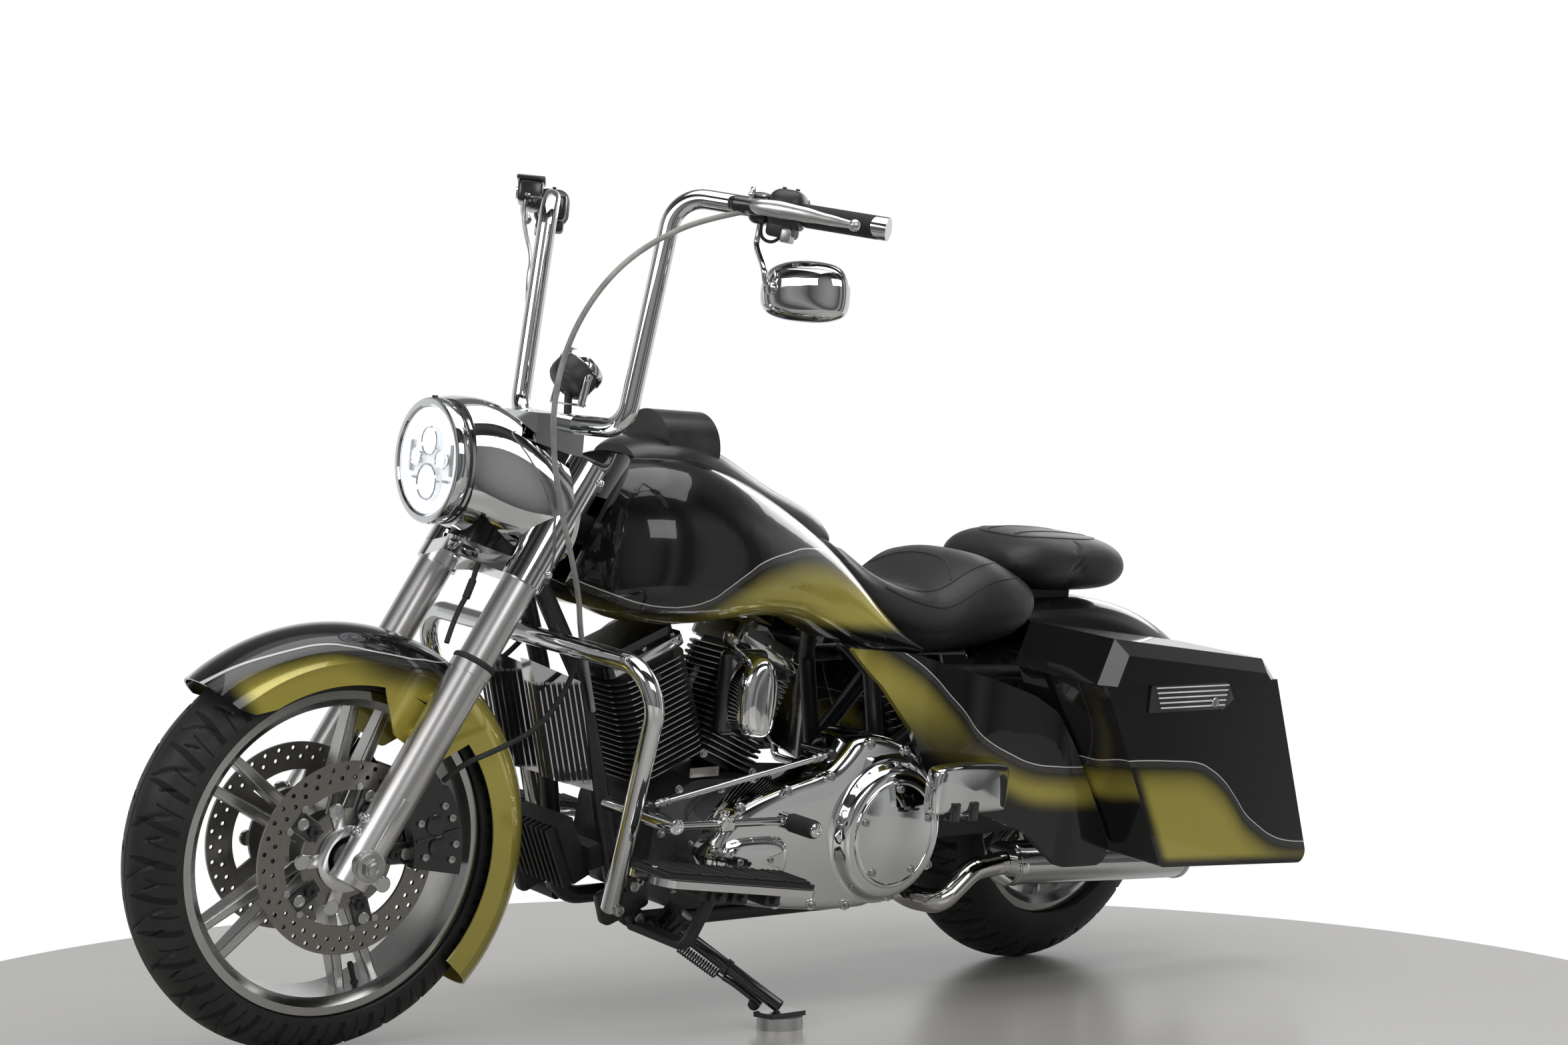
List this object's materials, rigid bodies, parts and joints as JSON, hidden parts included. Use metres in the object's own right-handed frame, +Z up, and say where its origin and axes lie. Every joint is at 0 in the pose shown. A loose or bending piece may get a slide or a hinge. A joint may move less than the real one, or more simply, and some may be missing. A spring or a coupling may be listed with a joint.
{
  "type": "motorcycle",
  "caption": "Leaning custom touring motorcycle with tall handlebars, twin-cylinder engine, deep fenders, hard saddlebags with opening lids, and a working side stand.",
  "frame": {"origin": "on the ground, under the middle of the bounding box", "axes": "+X forward along the wheelbase, +Y to the rider's left, +Z up; the machine stands leaned 9.15 degrees to its left on its side stand"},
  "size_m": [2.4284, 1.1202, 1.4216],
  "materials": {
    "satin_black": "satin black",
    "black_engine": "black powder coat with bright edges",
    "chrome": "polished chrome",
    "gloss_black": "gloss black paint with olive fades",
    "leather": "black leather, stitched",
    "polished": "machined and polished",
    "brushed": "fine brushed",
    "red_lens": "red lens",
    "blank_plate": "blank plate",
    "grey_sheath": "braided look sheath",
    "rubber": "matte",
    "glass": "clear",
    "tyre": "matte rubber",
    "disc_steel": "ground and drilled"
  },
  "bodies": {
    "frame": {"frame": "satin_black", "engine_case": "black_engine", "cylinders": "black_engine", "rocker_covers": "chrome", "primary_cover": "chrome", "horn_cover": "chrome", "cam_cover": "chrome", "air_cleaner": "chrome", "pushrod_tubes": "chrome", "exhaust_headers": "chrome", "mufflers": "chrome", "fuel_tank": "gloss_black", "dash_console": "satin_black", "rider_seat": "leather", "pillion_seat": "leather", "rear_fender": "gloss_black", "side_covers": "gloss_black", "saddlebags": "gloss_black", "crash_bar": "chrome", "floorboards": "polished", "board_arms": "satin_black", "shift_linkage": "chrome", "brake_pedal": "chrome", "rear_caliper": "satin_black", "oil_cooler": "brushed", "regulator": "black_engine", "swingarm": "satin_black", "rear_axle": "brushed", "rear_shocks": "satin_black", "rear_lamps": "red_lens", "number_plate": "blank_plate", "clutch_cable": "grey_sheath", "brake_hoses": "rubber"},
    "steering": {"fork_sliders": "brushed", "fork_tubes": "brushed", "triple_clamp": "satin_black", "headlight_nacelle": "chrome", "headlight_lens": "glass", "handlebar": "chrome", "grips": "rubber", "control_housings": "satin_black", "levers": "chrome", "mirror": "chrome", "gauge": "chrome", "front_fender": "gloss_black", "front_axle": "brushed", "front_calipers": "satin_black"},
    "front_wheel": {"front_tyre": "tyre", "front_rim": "polished", "front_discs": "disc_steel"},
    "rear_wheel": {"rear_tyre": "tyre", "rear_rim": "polished", "rear_disc": "disc_steel", "rear_pulley": "satin_black"},
    "side_stand": {"side_stand": "brushed", "stand_puck": "polished"},
    "left_lid": {"left_bag_lid": "gloss_black"},
    "right_lid": {"right_bag_lid": "gloss_black"}
  },
  "joints": [
    {"name": "steering_turn", "type": "hinge", "parent": "frame", "child": "steering", "pos_m": [0.63802, -0.00627, 0.86412], "axis": [-0.4384, 0.1429, 0.8874], "range_deg": [-26.75, 33.25], "deforming": ["clutch_cable", "brake_hoses"]},
    {"name": "front_wheel_spin", "type": "hinge", "parent": "steering", "child": "front_wheel", "pos_m": [0.89428, -0.09352, 0.31797], "axis": [0.051, 0.9896, -0.1342], "continuous": true},
    {"name": "rear_wheel_spin", "type": "hinge", "parent": "frame", "child": "rear_wheel", "pos_m": [-0.73074, -0.09317, 0.32458], "axis": [0, 0.9873, -0.159], "continuous": true},
    {"name": "side_stand_fold", "type": "hinge", "parent": "frame", "child": "side_stand", "pos_m": [0.29926, 0.05412, 0.15743], "axis": [-0.3608, 0.566, 0.7412], "range_deg": [0, 60]},
    {"name": "left_lid_hinge", "type": "hinge", "parent": "frame", "child": "left_lid", "pos_m": [-0.62287, 0.19662, 0.59563], "axis": [0.9999, -0.0018, -0.0111], "range_deg": [0, 55]},
    {"name": "right_lid_hinge", "type": "hinge", "parent": "frame", "child": "right_lid", "pos_m": [-0.62287, -0.2832, 0.67291], "axis": [-0.9999, 0.0018, 0.0111], "range_deg": [0, 55]}
  ]
}
